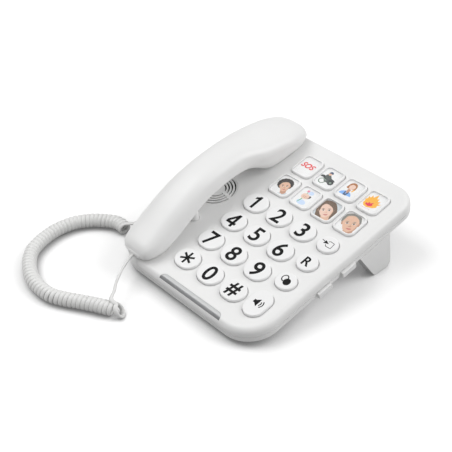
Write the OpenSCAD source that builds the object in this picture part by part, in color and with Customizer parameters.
// Corded desk telephone with big keys and eight picture memory keys.
// Millimetres, +Z up, the front of the telephone faces -Y, floor at z = 0.

/* [Base] */
// width of the base across its front corners
body_w_front = 157.4; // [130:0.2:190]
// width of the base across its rear corners
body_w_rear = 164.2; // [135:0.2:200]
// length of the base measured along its sloping top
body_d = 193; // [185:0.5:230]
// thickness of the base slab
body_h = 13.5; // [12.5:0.1:20]
// slope of the key field, degrees
tilt = 12; // [8:0.5:16]
// height of the front lower edge above the desk
front_lift = 3.6; // [2.5:0.1:6]
// plan radius of the two front corners
corner_front = 28; // [20:0.5:32]
// plan radius of the two rear corners
corner_rear = 20; // [14:0.5:30]
// soft rounding of the upper edge
edge_round = 5.2; // [4:0.1:6]
// height of the joint line between upper and lower shell
parting_z = 5.4; // [4.6:0.1:6]
// wall thickness of the shells
wall = 2.2; // [1.6:0.1:2.6]

/* [Keys] */
// sideways pitch of the number keys
key_pitch_x = 26; // [24:0.1:27]
// front to back pitch of the number keys
key_pitch_y = 25.8; // [24:0.1:27]
// half depth of a number key
key_r = 9.6; // [8:0.1:10.2]
// extra half width that makes a number key oval
key_oval = 1.6; // [0:0.1:2]
// how far the keys stand above the top surface
key_proud = 2.5; // [2:0.1:3.5]
// press travel of every key
key_travel = 1.5; // [0.8:0.1:1.6]
// gap around every key in its opening
key_gap = 0.5; // [0.3:0.05:0.8]
// sideways pitch of the picture keys
photo_pitch_x = 23.6; // [23:0.1:24.4]
// front to back pitch of the picture keys
photo_pitch_y = 28.3; // [27.5:0.1:29]
// width of a picture key
photo_w = 20; // [17:0.1:20.6]
// depth of a picture key
photo_d = 23.8; // [20:0.1:24.4]
// radius of the round function keys
func_r = 8.2; // [7:0.1:8.8]
// half length of the volume key
volume_half = 13; // [11:0.1:14]

/* [Handset] */
// how much shorter than the base the handset is
handset_short = 3; // [1:0.5:12]
// height of the handset's arch above the base
handset_rise = 38.1; // [34:0.1:41]
// width of the handset across the earpiece end
handset_w = 45.2; // [42:0.2:48]
// wall thickness of the handset shells
handset_wall = 2; // [1.5:0.1:2.4]
// radius of the receiver capsule
receiver_r = 14.5; // [11:0.1:15.5]
// how far the cradle switch post rises when the handset is lifted
hook_travel = 4; // [2.5:0.1:4.2]
// radius of the cradle switch post
hook_r = 4; // [3:0.1:5]

/* [Cord] */
// outside diameter of the curly cord
coil_od = 12; // [10:0.1:15]
// width of the flat straight leads
lead_d = 2.8; // [2:0.1:4]
// width of the modular plugs
plug_w = 7.6; // [7:0.1:8.5]
// height of the modular plugs
plug_h = 6; // [5.4:0.1:6.4]

/* [Hidden] */
$fn = 48;
eps = 0.01;
slider_out = 2.8;
slider_len = 14.4;
front_hw = body_w_front / 2;
rear_hw = body_w_rear / 2;
handset_len = body_d - handset_short;
// spread of the layout, sideways and front to back
kx = (body_w_front + body_w_rear) / 321.6;
ky = body_d / 193;
pitch_x = key_pitch_x * kx;
pitch_y = key_pitch_y * ky;
floor_t = 2;
board_z = 3.2;
board_t = 1.6;
mat_z = board_z + board_t;
mat_t = 1;
ceil_z = body_h - wall;
flange_t = 1.3;
flange_top = ceil_z - 0.1;
stem_z = flange_top - flange_t - 1.4;
dome_top = stem_z - 0.1;
key_top = body_h + key_proud;
field_x = -17 * kx;
field_y = 27.5 * ky;
func_x = field_x + 77.2 * kx;
photo_x = field_x + 4.7 * kx;
photo_y = field_y + 106.7 * ky;
func_y = [106 * ky, 82.6 * ky, 58.8 * ky];
volume_x = 58.5 * kx;
volume_y = 30 * ky;
// receiver, mouthpiece and loudspeaker centres on the base
hs_k = handset_len / 190;
hand_x = -53 * kx;
ear_y = 2 + 162.5 * hs_k;
mic_y = 2 + 19 * hs_k;
grille = [-58 * kx, 97.5 * ky];
hook = [-47 * kx, 62.5 * ky];
jack_y = 40 * ky;
line_x = 30 * kx;
slide_y = [77.2 * ky, 104.2 * ky];
lens_x = [-22.9 * kx, 45.1 * kx];
// handset stations: distance from its front end, half width, underside, top, joint line of the shells
// and fullness of the upper section; heights are above the top surface of the base
HS0 = [[2, 9, 3.8, 8.2, 5.7, 2.8], [3.5, 12.5, 2.4, 11.4, 6.1, 2.8], [7, 15.4, 1.6, 14.4, 6.2, 2.8],
    [13.5, 17.6, 1.3, 17.2, 6.3, 2.8], [21.5, 18.7, 1.3, 20.4, 6.4, 2.8],
    [32.5, 19, 4.6, 24.9, 9, 2.8], [45.5, 19, 10, 29.9, 13.7, 2.8], [59.5, 18.5, 15, 34.2, 18.5, 2.8],
    [73.5, 18, 18.6, 37, 22.1, 2.8], [87.5, 18, 20, 38.1, 23.5, 2.8],
    [101.5, 18, 20.2, 38.1, 23.7, 2.8], [115.5, 18.6, 18.5, 37.2, 22.6, 2.75],
    [125.5, 20, 13.5, 35.2, 21.4, 2.6], [133.5, 21.6, 7, 32.8, 20.4, 2.5],
    [141.5, 22.4, 2.4, 30.4, 19.2, 2.4], [150.5, 22.6, 0.8, 27.8, 17.6, 2.4],
    [162.5, 22.6, 0.5, 24.4, 14.6, 2.4], [173.5, 22, 0.5, 20.9, 11.2, 2.4],
    [182.5, 20, 0.6, 17, 8.2, 2.5], [188, 17, 1.3, 13.8, 6.9, 2.6], [191.5, 12, 3.6, 10.8, 6.3, 2.8]];
hs_w = handset_w / 45.2;
hs_h = handset_rise / 38.1;
HS = [for (s = HS0) [2 + (s[0] - 2) * hs_k, s[1] * hs_w, s[2] * hs_h, s[3] * hs_h, s[4] * hs_h, s[5]]];
hs_n = len(HS);
function hs_under(y) = lookup(y, [for (s = HS) [s[0], s[2]]]);
function hs_part(y) = lookup(y, [for (s = HS) [s[0], s[4]]]);
ear_rim = receiver_r + 1.5;
mic_rim = 11.5;
cup_drop = 1.6;

// half width of the base at a distance from its front
function hw(y) = front_hw + (rear_hw - front_hw) * y / body_d;
// plan outline of the base, counter-clockwise, drawn in by an inset
function outline(i, n = 8) = let (rf = corner_front - i, rr = corner_rear - i,
    xf = hw(corner_front) - corner_front, xr = hw(body_d - corner_rear) - corner_rear)
    concat(
        [for (k = [0:n]) let (a = -90 + 90 * k / n) [xf + rf * cos(a), corner_front + rf * sin(a)]],
        [for (k = [0:n]) let (a = 90 * k / n) [xr + rr * cos(a), body_d - corner_rear + rr * sin(a)]],
        [for (k = [0:n]) let (a = 90 + 90 * k / n) [-xr + rr * cos(a), body_d - corner_rear + rr * sin(a)]],
        [for (k = [0:n]) let (a = 180 + 90 * k / n) [-xf + rf * cos(a), corner_front + rf * sin(a)]]);
// closed skin through equal rings, triangles between them
module skin(rings) {
    n = len(rings[0]);
    m = len(rings);
    polyhedron(points = [for (r = rings) for (p = r) p], faces = concat(
        [[for (i = [0:n - 1]) i]],
        [for (k = [0:m - 2]) for (i = [0:n - 1]) [k * n + i, (k + 1) * n + i, (k + 1) * n + (i + 1) % n]],
        [for (k = [0:m - 2]) for (i = [0:n - 1]) [k * n + i, (k + 1) * n + (i + 1) % n, k * n + (i + 1) % n]],
        [[for (i = [n - 1:-1:0]) (m - 1) * n + i]]), convexity = 8);
}
// stack of body outlines, one per [height, inset]
module slab(levels) {
    skin([for (l = levels) [for (p = outline(l[1])) [p[0], p[1], l[0]]]]);
}
edge_z = body_h - edge_round;
TOP = concat([[parting_z, 0], [edge_z, 0]],
    [for (a = [22.5:22.5:90]) [edge_z + edge_round * sin(a), edge_round * (1 - cos(a))]]);
cav_z = ceil_z - 3.2;
CAVITY = [[parting_z - 1, wall], [cav_z, wall], [cav_z + 2.2, wall + 1], [ceil_z, wall + 3]];

// from the sloping base to the desk
reach_front = min(concat([for (l = TOP) l[1] * cos(tilt) - l[0] * sin(tilt)],
    [for (s = HS) s[0] * cos(tilt) - (body_h + s[3]) * sin(tilt)]));
reach_rear = body_d * cos(tilt) - sin(tilt);
reach_right = hw(slide_y[1] + slider_len / 2) + slider_out;
shift_x = -(reach_right - hw(body_d - corner_rear)) / 2;
shift_y = -(reach_front + reach_rear) / 2;
module place() {
    translate([shift_x, shift_y, front_lift]) rotate([tilt, 0, 0]) children();
}
module desk() {
    translate([shift_x, shift_y, 0]) children();
}

// oval prism, exact round ends, along x
module oval(r, half, z0, z1, r2 = 0) {
    rt = r2 > 0 ? r2 : r;
    for (s = half > 0 ? [-1, 1] : [0])
        translate([s * half, 0, z0]) cylinder(r1 = r, r2 = rt, h = z1 - z0);
    if (half > 0)
        translate([-half, 0, z0]) rotate([90, 0, 90])
            linear_extrude(2 * half) polygon([[-r, 0], [r, 0], [rt, z1 - z0], [-rt, z1 - z0]]);
}
// rounded rectangle prism
module pill(w, d, r, z0, z1) {
    translate([-w / 2 + r, -d / 2, z0]) cube([w - 2 * r, d, z1 - z0]);
    translate([-w / 2, -d / 2 + r, z0]) cube([w, d - 2 * r, z1 - z0]);
    for (x = [-1, 1], y = [-1, 1])
        translate([x * (w / 2 - r), y * (d / 2 - r), z0]) cylinder(r = r, h = z1 - z0);
}
module number_at(c, r) {
    translate([field_x + c * pitch_x, field_y + r * pitch_y, 0]) children();
}
module photo_at(i) {
    translate([photo_x + (i % 4) * photo_pitch_x * kx, photo_y + floor(i / 4) * photo_pitch_y * ky, 0])
        children();
}
module func_at(i) {
    translate([func_x, func_y[i], 0]) children();
}
module volume_at() {
    translate([volume_x, volume_y, 0]) rotate([0, 0, 90]) children();
}
vol_r = 9;
vol_half = volume_half - vol_r;

// screw positions in the base and handset
BS = [[-64 * kx, 12], [64 * kx, 12], [-72 * kx, body_d - 12], [72 * kx, body_d - 12]];
HSY = [2 + 34 * hs_k, 2 + 132 * hs_k];
foot_x = 52 * kx;
foot_y = 12.5;
clip_x = 60 * kx;

module base_top() {
    difference() {
        union() {
            difference() {
                slab(TOP);
                slab(CAVITY);
            }
            translate([hand_x, ear_y, ceil_z - 2]) cylinder(r = ear_rim + 3, h = 3);
            translate([hand_x, mic_y, ceil_z - 1.2]) cylinder(r = mic_rim + 3, h = 2.4);
            for (p = BS) translate([p[0], p[1], parting_z - 1.4])
                cylinder(r = 3.6, h = ceil_z - parting_z + 2);
            translate([hook[0], hook[1], ceil_z - 0.5]) cylinder(r = hook_r + 2.4, h = 2);
        }
        translate([hand_x, ear_y, body_h - cup_drop - 0.6]) cylinder(r = ear_rim + 1.2, h = 10);
        translate([hand_x, mic_y, body_h - 1]) cylinder(r = mic_rim + 1.2, h = 10);
        for (p = BS) translate([p[0], p[1], 0]) cylinder(r = 1.3, h = ceil_z + 0.4);
        translate([hook[0], hook[1], 0]) cylinder(r = hook_r + 0.3, h = 30);
        for (c = [0:2], r = [0:3]) number_at(c, r) oval(key_r + key_gap, key_oval, 0, 30);
        for (i = [0:2]) func_at(i) oval(func_r + key_gap, 0.6, 0, 30);
        volume_at() oval(vol_r + key_gap, vol_half, 0, 30);
        for (i = [0:7]) photo_at(i)
            pill(photo_w + 2 * key_gap, photo_d + 2 * key_gap, 4.8 + key_gap, 0, 30);
        translate([grille[0], grille[1], body_h - 0.6]) cylinder(r = 19, h = 10);
        grille_slots();
        lens_window(0);
        socket_hole_side();
        socket_hole_rear();
        slider_slots();
    }
}
module grille_slots() {
    difference() {
        for (r = [8.4, 11.2, 13.9, 16.7]) translate([grille[0], grille[1], 0]) difference() {
            cylinder(r = r + 0.65, h = 30);
            translate([0, 0, -1]) cylinder(r = r - 0.65, h = 32);
        }
        for (a = [-10, 80]) translate([grille[0], grille[1], 0]) rotate([0, 0, a])
            translate([-20, -1.4, -1]) cube([40, 2.8, 32]);
    }
}
// strip across the front edge, eased all round by a gap
module lens_window(g) {
    translate([lens_x[0] + g, -5, edge_z + 1.4 + g]) cube([lens_x[1] - lens_x[0] - 2 * g, 13.2 - g, 20]);
}
module ring_lens() {
    intersection() {
        lens_window(0.12);
        difference() {
            slab(TOP);
            slab([[parting_z, 1.4], [edge_z, 1.4], [edge_z + 2.6, 2.4], [body_h - 1.4, 5]]);
        }
    }
    translate([lens_x[0] + 4.5, 6.2, body_h - 3.2]) cube([lens_x[1] - lens_x[0] - 9, 1.5, 2]);
}

module base_bottom() {
    difference() {
        union() {
            difference() {
                union() {
                    translate([0, 0, 1]) linear_extrude(parting_z - 1.6) plan(0);
                    linear_extrude(1.1) plan(0.8);
                    linear_extrude(parting_z) plan(0.7);
                }
                translate([0, 0, floor_t]) linear_extrude(20) plan(wall + 0.8);
            }
            for (p = BS) translate([p[0], p[1], 1]) cylinder(r = 4.4, h = parting_z - 1.4 - 1);
            for (x = [-30, 20, 70], y = [40.4, 92, 148.3])
                translate([x * kx, y * ky, 1]) cylinder(r = 2, h = board_z - 1);
        }
        for (p = BS) translate([p[0], p[1], -1]) {
            cylinder(r = 1.7, h = 20);
            cylinder(r = 3.2, h = 2.6);
        }
        for (x = [-1, 1]) translate([x * foot_x, foot_y, -1]) cylinder(r = 5.1, h = 1.8);
        for (x = [-1, 1]) translate([x * clip_x, 136 + leg_dy, -1]) cylinder(r = 3, h = 20);
        socket_hole_side();
        socket_hole_rear();
        slider_slots();
        for (x = [-24:8:24]) translate([x * kx - 1.5, 70 * ky, -1]) cube([3, 40 * ky, 20]);
    }
}
// exact plan of the base, drawn in by an inset
module plan(i) {
    o = outline(i);
    polygon([for (k = [0, 8, 9, 17, 18, 26, 27, 35]) o[k]]);
    for (s = [-1, 1]) {
        translate([s * (hw(corner_front) - corner_front), corner_front]) circle(r = corner_front - i);
        translate([s * (hw(body_d - corner_rear) - corner_rear), body_d - corner_rear])
            circle(r = corner_rear - i);
    }
}
// openings shared by both shells
sock_z = 2.4;
sock_h = plug_h + 1.8;
module socket_hole_side() {
    translate([-hw(jack_y) - 3, jack_y - plug_w / 2 - 0.5, sock_z + 0.4]) cube([8, plug_w + 1, plug_h + 1]);
}
module socket_hole_rear() {
    translate([line_x - 5.4, body_d - 5, sock_z + 0.4]) cube([10.8, 8, plug_h + 1]);
}
module slider_slots() {
    for (y = slide_y) translate([hw(y) - 5, y - 5.6, 2.2]) cube([8, 11.2, 2]);
}

module desk_stand() {
    difference() {
        union() {
            for (s = [-1, 1]) stand_leg(s);
            translate([0, leg_dy, 0]) {
                translate([-web_x, 124, -3]) cube([2 * web_x, 24, 3]);
                translate([-web_x, 141, -22]) cube([2 * web_x, 2.4, 21]);
                for (x = [-1, 1]) translate([x * clip_x, 136, -1]) cylinder(r = 3, h = 1 + floor_t);
            }
        }
        for (s = [-1, 1]) translate([s * sole_x, 0, 0]) sole_cut();
    }
}
leg_dy = 137 * (ky - 1);
leg_out = hw(135 * ky);
sole_x = leg_out - 4.88;
sole_y = 145.5 + leg_dy / cos(tilt);
web_x = leg_out - 9.08;
// side outline of one leg, front edge raked, toe cut level with the desk
leg_side = [[119.5, 0], [155.2, 0], [154.6, -20], [152.4, -80], [141, -80], [138, -38], [134.5, -33]];
toe_round = 5;
module leg_profile() {
    offset(r = toe_round) offset(delta = -toe_round) difference() {
        polygon(leg_side);
        translate([-leg_dy, 0]) rotate(-tilt) translate([-100, 0.4 - front_lift - 100]) square([400, 100]);
    }
    intersection() {
        polygon(leg_side);
        translate([100, -9]) square([80, 9]);
    }
}
module stand_leg(s) {
    translate([s > 0 ? leg_out - 10 : -leg_out, leg_dy, 0])
        rotate([90, 0, 90]) linear_extrude(10) leg_profile();
}
// everything under a level above the desk, in the sloping frame
module below_floor(h) {
    rotate([-tilt, 0, 0]) translate([-150, -100, -front_lift + h - 100]) cube([300, 400, 100]);
}
module sole_cut() {
    rotate([-tilt, 0, 0]) translate([0, sole_y, -front_lift - 1]) cylinder(r = 4, h = 2.6);
}
module rubber_feet() {
    place() difference() {
        for (x = [-1, 1]) translate([x * foot_x, foot_y, -9]) cylinder(r = 5, h = 9.8);
        below_floor(0);
    }
    desk() for (s = [-1, 1]) translate([s * sole_x, sole_y, 0]) cylinder(r = 3.9, h = 1.6);
}

module main_board() {
    difference() {
        translate([-37 * kx, 6, board_z]) cube([111 * kx, body_d - 23, board_t]);
        for (p = BS) translate([p[0], p[1], 0]) cylinder(r = 6, h = 20);
        translate([57 * kx, 0, 0]) cube([20 * kx, 20, 20]);
        for (y = slide_y) translate([68 * kx, y - 8, 0]) cube([20 * kx, 16, 20]);
    }
    for (x = [-10, 10, 30]) translate([x * kx - 2.5, 6.5, mat_z]) cube([5, 4, 2]);
    translate([-35 * kx, 120 * ky, mat_z]) cube([14, 18 * ky, 2.4]);
    translate([-35 * kx, 70 * ky, mat_z]) cube([9, 12 * ky, 3]);
}
module keypad_mat() {
    difference() {
        union() {
            translate([-31 * kx, 12, mat_z]) cube([101 * kx, body_d - 32, mat_t]);
            each_key() translate([0, 0, mat_z]) cylinder(r1 = 5, r2 = 3.6, h = dome_top - mat_z);
        }
        for (y = [8, 116, 172]) translate([-38 * kx, y * ky, 0]) cube([17.4, 26, 4.9]);
        translate([-38 * kx, 117 * ky, 0]) cube([17 + 3 * kx, 24 * ky, 20]);
        translate([-38 * kx, 67 * ky, 0]) cube([10 + 3 * kx, 18 * ky, 20]);
        for (y = slide_y) translate([66 * kx, y - 9, 0]) cube([20 * kx, 18, 20]);
        for (p = BS) translate([p[0], p[1], 0]) cylinder(r = 6.4, h = 20);
    }
}
module each_key() {
    for (c = [0:2], r = [0:3]) number_at(c, r) children();
    for (i = [0:2]) func_at(i) children();
    volume_at() children();
    for (i = [0:7]) photo_at(i) children();
}

module number_key(c, r) {
    number_at(c, r) {
        oval(key_r, key_oval, flange_top - flange_t, key_top - 1.4);
        oval(key_r, key_oval, key_top - 1.4, key_top - 0.5, key_r - 0.5);
        oval(key_r - 0.5, key_oval, key_top - 0.5, key_top, key_r - 1.3);
        oval(key_r + 1.2, key_oval, flange_top - flange_t, flange_top);
        translate([0, 0, stem_z]) cylinder(r = 3.4, h = 3);
    }
}
module func_key(i) {
    func_at(i) {
        oval(func_r, 0.6, flange_top - flange_t, key_top - 1.4);
        oval(func_r, 0.6, key_top - 1.4, key_top - 0.5, func_r - 0.5);
        oval(func_r - 0.5, 0.6, key_top - 0.5, key_top, func_r - 1.3);
        oval(func_r + 1.2, 0.6, flange_top - flange_t, flange_top);
        translate([0, 0, stem_z]) cylinder(r = 3.4, h = 3);
    }
}
module volume_key() {
    volume_at() {
        oval(vol_r, vol_half, flange_top - flange_t, key_top - 1.4);
        oval(vol_r, vol_half, key_top - 1.4, key_top - 0.5, vol_r - 0.5);
        oval(vol_r - 0.5, vol_half, key_top - 0.5, key_top, vol_r - 1.3);
        oval(vol_r + 1.2, vol_half, flange_top - flange_t, flange_top);
        translate([0, 0, stem_z]) cylinder(r = 3.4, h = 3);
    }
}
cover_t = 1.2;
card_t = 0.5;
module photo_key(i) {
    photo_at(i) {
        difference() {
            union() {
                pill(photo_w, photo_d, 4.8, flange_top - flange_t, key_top - 0.9);
                pill(photo_w - 0.8, photo_d - 0.8, 4.4, flange_top, key_top - 0.4);
                pill(photo_w + 1.8, photo_d + 1.8, 5.6, flange_top - flange_t, flange_top);
            }
            pill(photo_w - 2.6, photo_d - 2.6, 3.6, key_top - cover_t - card_t, key_top + 1);
        }
        translate([0, 0, stem_z]) cylinder(r = 3.4, h = 3);
    }
}
module photo_cover(i) {
    photo_at(i) difference() {
        pill(photo_w - 2.7, photo_d - 2.7, 3.5, key_top - cover_t - card_t, key_top);
        pill(photo_w - 5, photo_d - 5, 2.4, key_top - cover_t - card_t - 1, key_top - cover_t);
    }
}

module loudspeaker() {
    translate([grille[0], grille[1], ceil_z - 0.2]) mirror([0, 0, 1]) {
        cylinder(r = 17.6, h = 1.2);
        translate([0, 0, 1]) cylinder(r1 = 17, r2 = 10, h = 2.6);
        translate([0, 0, 3.4]) cylinder(r = 10, h = 2.4);
    }
}
hook_y = hook[1];
hook_top = body_h + hs_under(hook_y - hook_r) - 0.3;
module hook_plunger() {
    translate([hook[0], hook[1], 0]) {
        translate([0, 0, 5.3]) cylinder(r = hook_r, h = hook_top - 5.3 - 1.8);
        translate([0, 0, hook_top - 1.8]) cylinder(r1 = hook_r, r2 = hook_r - 2, h = 1.8);
        translate([0, 0, 5.3]) cylinder(r = hook_r + 1.8, h = 1.2);
    }
}
module hook_switch() {
    translate([hook[0] - 4, hook[1] - 4, floor_t]) cube([8, 8, 2.4]);
    translate([hook[0], hook[1], floor_t]) cylinder(r = 1.8, h = 5.2 - floor_t);
}

module socket(w) {
    difference() {
        translate([-w / 2 - 1.6, 0, sock_z - 0.4]) cube([w + 3.2, 13, sock_h + 0.2]);
        translate([-w / 2 - 0.2, -1, sock_z + 0.7]) cube([w + 0.4, 11.5, plug_h + 0.4]);
    }
}
module base_jack() {
    translate([-hw(jack_y) + wall + 0.9, jack_y, 0]) rotate([0, 0, -90]) mirror([1, 0, 0]) socket(plug_w);
}
module line_jack() {
    translate([line_x, body_d - wall - 0.9, 0]) rotate([0, 0, 180]) socket(9.6);
}
module plug_body() {
    translate([-plug_w / 2, -2.6, sock_z + 0.9]) cube([plug_w, 12.4, plug_h]);
}
module plug_base() {
    translate([-hw(jack_y) + wall + 0.9, jack_y, 0]) rotate([0, 0, -90]) mirror([1, 0, 0]) difference() {
        plug_body();
        translate([-1.2, 8, sock_z + 4.4]) cube([2.4, 3, 4]);
    }
}

module slider(y) {
    translate([hw(y) + 0.25, y, 0]) rotate([0, 0, -atan((rear_hw - front_hw) / body_d)]) {
        translate([0, -slider_len / 2, 0.3]) cube([slider_out - 0.25, slider_len, parting_z - 0.7]);
        translate([-5.2, -2.5, 2.35]) cube([6, 5, 1.7]);
        translate([-6.6, -3.4, 2.2]) cube([1.5, 6.8, 2.6]);
    }
}

// one solid of the handset between its stations, drawn in by a wall
function ring(s, w) = let (hx = s[1] - w, b = s[2] + w, t = s[3] - w,
    m = max(b + 0.3, min(s[4], t - 0.3)))
    [for (k = [0:27]) let (a = 360 * k / 28, c = cos(a), d = -sin(a),
        e = d > 0 ? 2 / s[5] : 2 / 5)
        [hand_x + sign(c) * pow(abs(c), e) * hx, s[0],
            body_h + m + (d > 0 ? (t - m) : (m - b)) * sign(d) * pow(abs(d), e)]];
module handset_solid() {
    skin([for (s = HS) ring(s, 0)]);
}
module handset_hollow() {
    skin([for (k = [2:hs_n - 3]) ring(HS[k], handset_wall)]);
}
// region over the joint line of the two handset shells
module over_joint() {
    translate([hand_x - 40, 0, body_h]) rotate([90, 0, 90]) linear_extrude(80)
        polygon(concat([for (s = HS) [s[0], hs_part(s[0])]],
            [[HS[hs_n - 1][0] + 9, hs_part(HS[hs_n - 1][0])], [HS[hs_n - 1][0] + 9, 80],
            [-9, 80], [-9, hs_part(HS[0][0])]]));
}
hj_z = body_h + hs_under(8) + 1.6 * hs_h;
module handset_jack_hole() {
    translate([hand_x - plug_w / 2 - 0.6, -4, hj_z - 0.3]) cube([plug_w + 1.2, 13, plug_h + 1.2]);
    translate([hand_x - plug_w / 2 - 1.9, 7.4, hj_z - 1.1]) cube([plug_w + 3.8, 13.4, plug_h + 2.8]);
}
module handset_back() {
    difference() {
        union() {
            intersection() {
                difference() {
                    handset_solid();
                    handset_hollow();
                }
                over_joint();
            }
            intersection() {
                for (y = HSY) translate([hand_x, y, body_h])
                    cylinder(r = 2.6, h = 60);
                handset_solid();
                over_joint();
            }
        }
        for (y = HSY) translate([hand_x, y, body_h])
            cylinder(r = 1.2, h = hs_part(y) + 9);
        handset_jack_hole();
    }
}
module handset_cover() {
    difference() {
        union() {
            difference() {
                handset_solid();
                handset_hollow();
                over_joint();
            }
            translate([hand_x, ear_y, body_h - cup_drop]) cylinder(r = ear_rim, h = cup_drop + 1.6);
            translate([hand_x, mic_y, body_h - 0.4]) cylinder(r = mic_rim, h = 2.4);
            intersection() {
                for (y = HSY) translate([hand_x, y, 0]) cylinder(r = 4.4, h = 80);
                difference() {
                    handset_solid();
                    over_joint();
                }
            }
        }
        for (y = HSY) translate([hand_x, y, 0]) {
            cylinder(r = 1.6, h = 80);
            cylinder(r = 3, h = body_h + hs_part(y) - 1.65);
        }
        translate([hand_x, ear_y, 0]) {
            cylinder(r = 1.2, h = 40);
            for (a = [0:60:300]) rotate([0, 0, a]) translate([5.5, 0, 0]) cylinder(r = 1.2, h = 40);
        }
        for (x = [-4, 0, 4]) translate([hand_x + x, mic_y, 0]) cylinder(r = 0.9, h = 40);
        handset_jack_hole();
    }
}
module receiver() {
    translate([hand_x, ear_y, body_h + 3]) cylinder(r = receiver_r, h = 4);
    translate([hand_x, ear_y, body_h + 6.9]) cylinder(r = receiver_r - 4, h = 2);
}
module microphone() {
    translate([hand_x, mic_y + 6.1, body_h + hs_under(mic_y + 11) + handset_wall + 0.6])
        cylinder(r = 4.2, h = 4.5);
}
weight_y = 2 + 92.5 * hs_k;
module handset_weight() {
    translate([hand_x - 7, weight_y - 7, body_h + hs_under(weight_y) + handset_wall + 0.15])
        cube([14, 14, 7]);
}
module handset_jack() {
    difference() {
        translate([hand_x - plug_w / 2 - 1.6, 7.6, hj_z - 0.8]) cube([plug_w + 3.2, 13, plug_h + 2.2]);
        translate([hand_x - plug_w / 2 - 0.2, 6, hj_z]) cube([plug_w + 0.4, 12, plug_h + 0.5]);
    }
}
module plug_handset() {
    translate([hand_x - plug_w / 2, 3.6, hj_z + 0.2]) cube([plug_w, 13.4, plug_h]);
}
module screw(h, r, l) {
    cylinder(r = r, h = h);
    cylinder(r = r * 0.5, h = l);
}
module base_screws() {
    for (p = BS) translate([p[0], p[1], 0.2]) difference() {
        union() {
            cylinder(r = 3, h = 1.35);
            cylinder(r = 1.28, h = ceil_z - 0.4);
        }
        for (a = [0, 90]) rotate([0, 0, a]) translate([-2, -0.35, -1]) cube([4, 0.7, 1.6]);
    }
}
module handset_screws() {
    for (y = HSY) translate([hand_x, y, body_h + hs_part(y) - 3]) difference() {
        union() {
            cylinder(r = 2.8, h = 1.35);
            cylinder(r = 1.18, h = 10.6);
        }
        for (a = [0, 90]) rotate([0, 0, a]) translate([-1.8, -0.35, -1]) cube([3.6, 0.7, 1.6]);
    }
}

// round tube through points, one ring per point, square to the run there
function unit(v) = v / norm(v);
function along(p, i) = unit(p[min(i + 1, len(p) - 1)] - p[max(i - 1, 0)]);
function tube_rings(p, r, n) = [for (i = [0:len(p) - 1]) let (d = along(p, i),
    a = unit(cross([0, 0, 1], d)), b = cross(d, a))
    [for (k = [0:n - 1]) p[i] + r * cos(360 * k / n) * a + r * sin(360 * k / n) * b]];
COIL = [[-94, 23.5], [-98.5, 25.6], [-104, 26.6], [-109.5, 26.6], [-115, 24.3], [-120.5, 20.2],
    [-127, 14.5], [-132, 7.5], [-136, 0], [-138, -9.5], [-138.5, -19], [-136.5, -30.5], [-133, -41],
    [-127.5, -50.5], [-118, -59], [-107, -65.5], [-95.5, -69.5], [-83, -70.5], [-72, -69],
    [-62, -64], [-51.5, -57.5], [-40.5, -51], [-31, -46], [-24, -42], [-17.5, -38.3]];
coil_z = coil_od / 2 + 0.3;
// the cord keeps to the side of the base
cord_dx = 78.7 - front_hw;
module cord_coil() {
    desk() skin(tube_rings([for (p = COIL) [p[0] + cord_dx, p[1], coil_z]], coil_od / 2, 10));
}
// desk place of a point of the sloping base
function on_desk(p) = [p[0], p[1] * cos(tilt) - p[2] * sin(tilt),
    p[1] * sin(tilt) + p[2] * cos(tilt) + front_lift];
hp = [hand_x, 3.55, hj_z + 0.2 + plug_h / 2];
// both leads start just over the coil
lead_z = coil_od + 0.6 + lead_d / 2;
LEAD_H = [[-30, -45.5, lead_z], [-33, -41, lead_z + 0.1], [-37.3, -35.5, lead_z + 0.5],
    [-42.7, -29.3, lead_z + 1.6], [-48, -20.5, lead_z + 3.4], [-51.2, -13, lead_z + 5.4]];
module lead_handset() {
    desk() skin(tube_rings(concat(LEAD_H,
        [on_desk(hp + [0, -6, -0.4]), on_desk(hp + [0, -2.5, 0]), on_desk(hp)]), lead_d / 2, 8));
}
bp = [-hw(jack_y) + wall + 0.9 - 2.65, jack_y, sock_z + 0.9 + plug_h / 2];
module lead_base() {
    desk() skin(tube_rings([[cord_dx - 96, 25.5, lead_z], [cord_dx - 94.2, 30.5, lead_z + 0.1],
        [cord_dx - 91, 35, lead_z + 0.9], on_desk(bp + [-7.5, 0.2, -0.9]), on_desk(bp + [-2.5, 0, 0]),
        on_desk(bp)], lead_d / 2, 8));
}

color([0.93, 0.93, 0.93]) place() base_top();
color([0.93, 0.93, 0.93]) place() base_bottom();
color([0.93, 0.93, 0.93]) place() desk_stand();
color([0.7, 0.72, 0.74]) place() ring_lens();
color([0.1, 0.4, 0.2]) place() main_board();
color([0.6, 0.6, 0.6]) place() keypad_mat();
color([0.15, 0.15, 0.15]) place() loudspeaker();
color([0.93, 0.93, 0.93]) place() hook_plunger();
color([0.1, 0.1, 0.1]) place() hook_switch();
color([0.2, 0.2, 0.2]) place() base_jack();
color([0.2, 0.2, 0.2]) place() line_jack();
color([0.6, 0.6, 0.62]) place() base_screws();
color([0.2, 0.2, 0.2]) rubber_feet();
color([0.93, 0.93, 0.93]) place() slider(slide_y[0]);  // ringer_slider
color([0.93, 0.93, 0.93]) place() slider(slide_y[1]);  // volume_slider
color([0.93, 0.93, 0.93]) place() handset_back();
color([0.93, 0.93, 0.93]) place() handset_cover();
color([0.2, 0.2, 0.2]) place() receiver();
color([0.6, 0.6, 0.62]) place() microphone();
color([0.5, 0.5, 0.52]) place() handset_weight();
color([0.2, 0.2, 0.2]) place() handset_jack();
color([0.6, 0.6, 0.62]) place() handset_screws();
color([0.93, 0.93, 0.93]) cord_coil();
color([0.93, 0.93, 0.93]) lead_handset();
color([0.93, 0.93, 0.93]) lead_base();
color([0.8, 0.85, 0.88]) place() plug_handset();
color([0.8, 0.85, 0.88]) place() plug_base();
color([0.96, 0.96, 0.96]) place() number_key(0, 0);  // key_star
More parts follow.
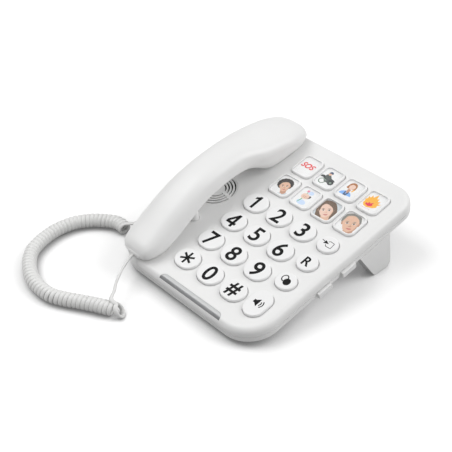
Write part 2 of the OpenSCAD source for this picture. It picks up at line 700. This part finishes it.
color([0.96, 0.96, 0.96]) place() number_key(1, 0);  // key_0
color([0.96, 0.96, 0.96]) place() number_key(2, 0);  // key_hash
color([0.96, 0.96, 0.96]) place() number_key(0, 1);  // key_7
color([0.96, 0.96, 0.96]) place() number_key(1, 1);  // key_8
color([0.96, 0.96, 0.96]) place() number_key(2, 1);  // key_9
color([0.96, 0.96, 0.96]) place() number_key(0, 2);  // key_4
color([0.96, 0.96, 0.96]) place() number_key(1, 2);  // key_5
color([0.96, 0.96, 0.96]) place() number_key(2, 2);  // key_6
color([0.96, 0.96, 0.96]) place() number_key(0, 3);  // key_1
color([0.96, 0.96, 0.96]) place() number_key(1, 3);  // key_2
color([0.96, 0.96, 0.96]) place() number_key(2, 3);  // key_3
color([0.96, 0.96, 0.96]) place() func_key(0);  // key_redial
color([0.96, 0.96, 0.96]) place() func_key(1);  // key_recall
color([0.96, 0.96, 0.96]) place() func_key(2);  // key_mute
color([0.96, 0.96, 0.96]) place() volume_key();  // key_volume
color([0.96, 0.96, 0.96]) place() photo_key(0);  // photo_key_1
color([0.96, 0.96, 0.96]) place() photo_key(1);  // photo_key_2
color([0.96, 0.96, 0.96]) place() photo_key(2);  // photo_key_3
color([0.96, 0.96, 0.96]) place() photo_key(3);  // photo_key_4
color([0.96, 0.96, 0.96]) place() photo_key(4);  // photo_key_5
color([0.96, 0.96, 0.96]) place() photo_key(5);  // photo_key_6
color([0.96, 0.96, 0.96]) place() photo_key(6);  // photo_key_7
color([0.96, 0.96, 0.96]) place() photo_key(7);  // photo_key_8
color([0.85, 0.9, 0.95, 0.4]) place() photo_cover(0);  // photo_cover_1
color([0.85, 0.9, 0.95, 0.4]) place() photo_cover(1);  // photo_cover_2
color([0.85, 0.9, 0.95, 0.4]) place() photo_cover(2);  // photo_cover_3
color([0.85, 0.9, 0.95, 0.4]) place() photo_cover(3);  // photo_cover_4
color([0.85, 0.9, 0.95, 0.4]) place() photo_cover(4);  // photo_cover_5
color([0.85, 0.9, 0.95, 0.4]) place() photo_cover(5);  // photo_cover_6
color([0.85, 0.9, 0.95, 0.4]) place() photo_cover(6);  // photo_cover_7
color([0.85, 0.9, 0.95, 0.4]) place() photo_cover(7);  // photo_cover_8
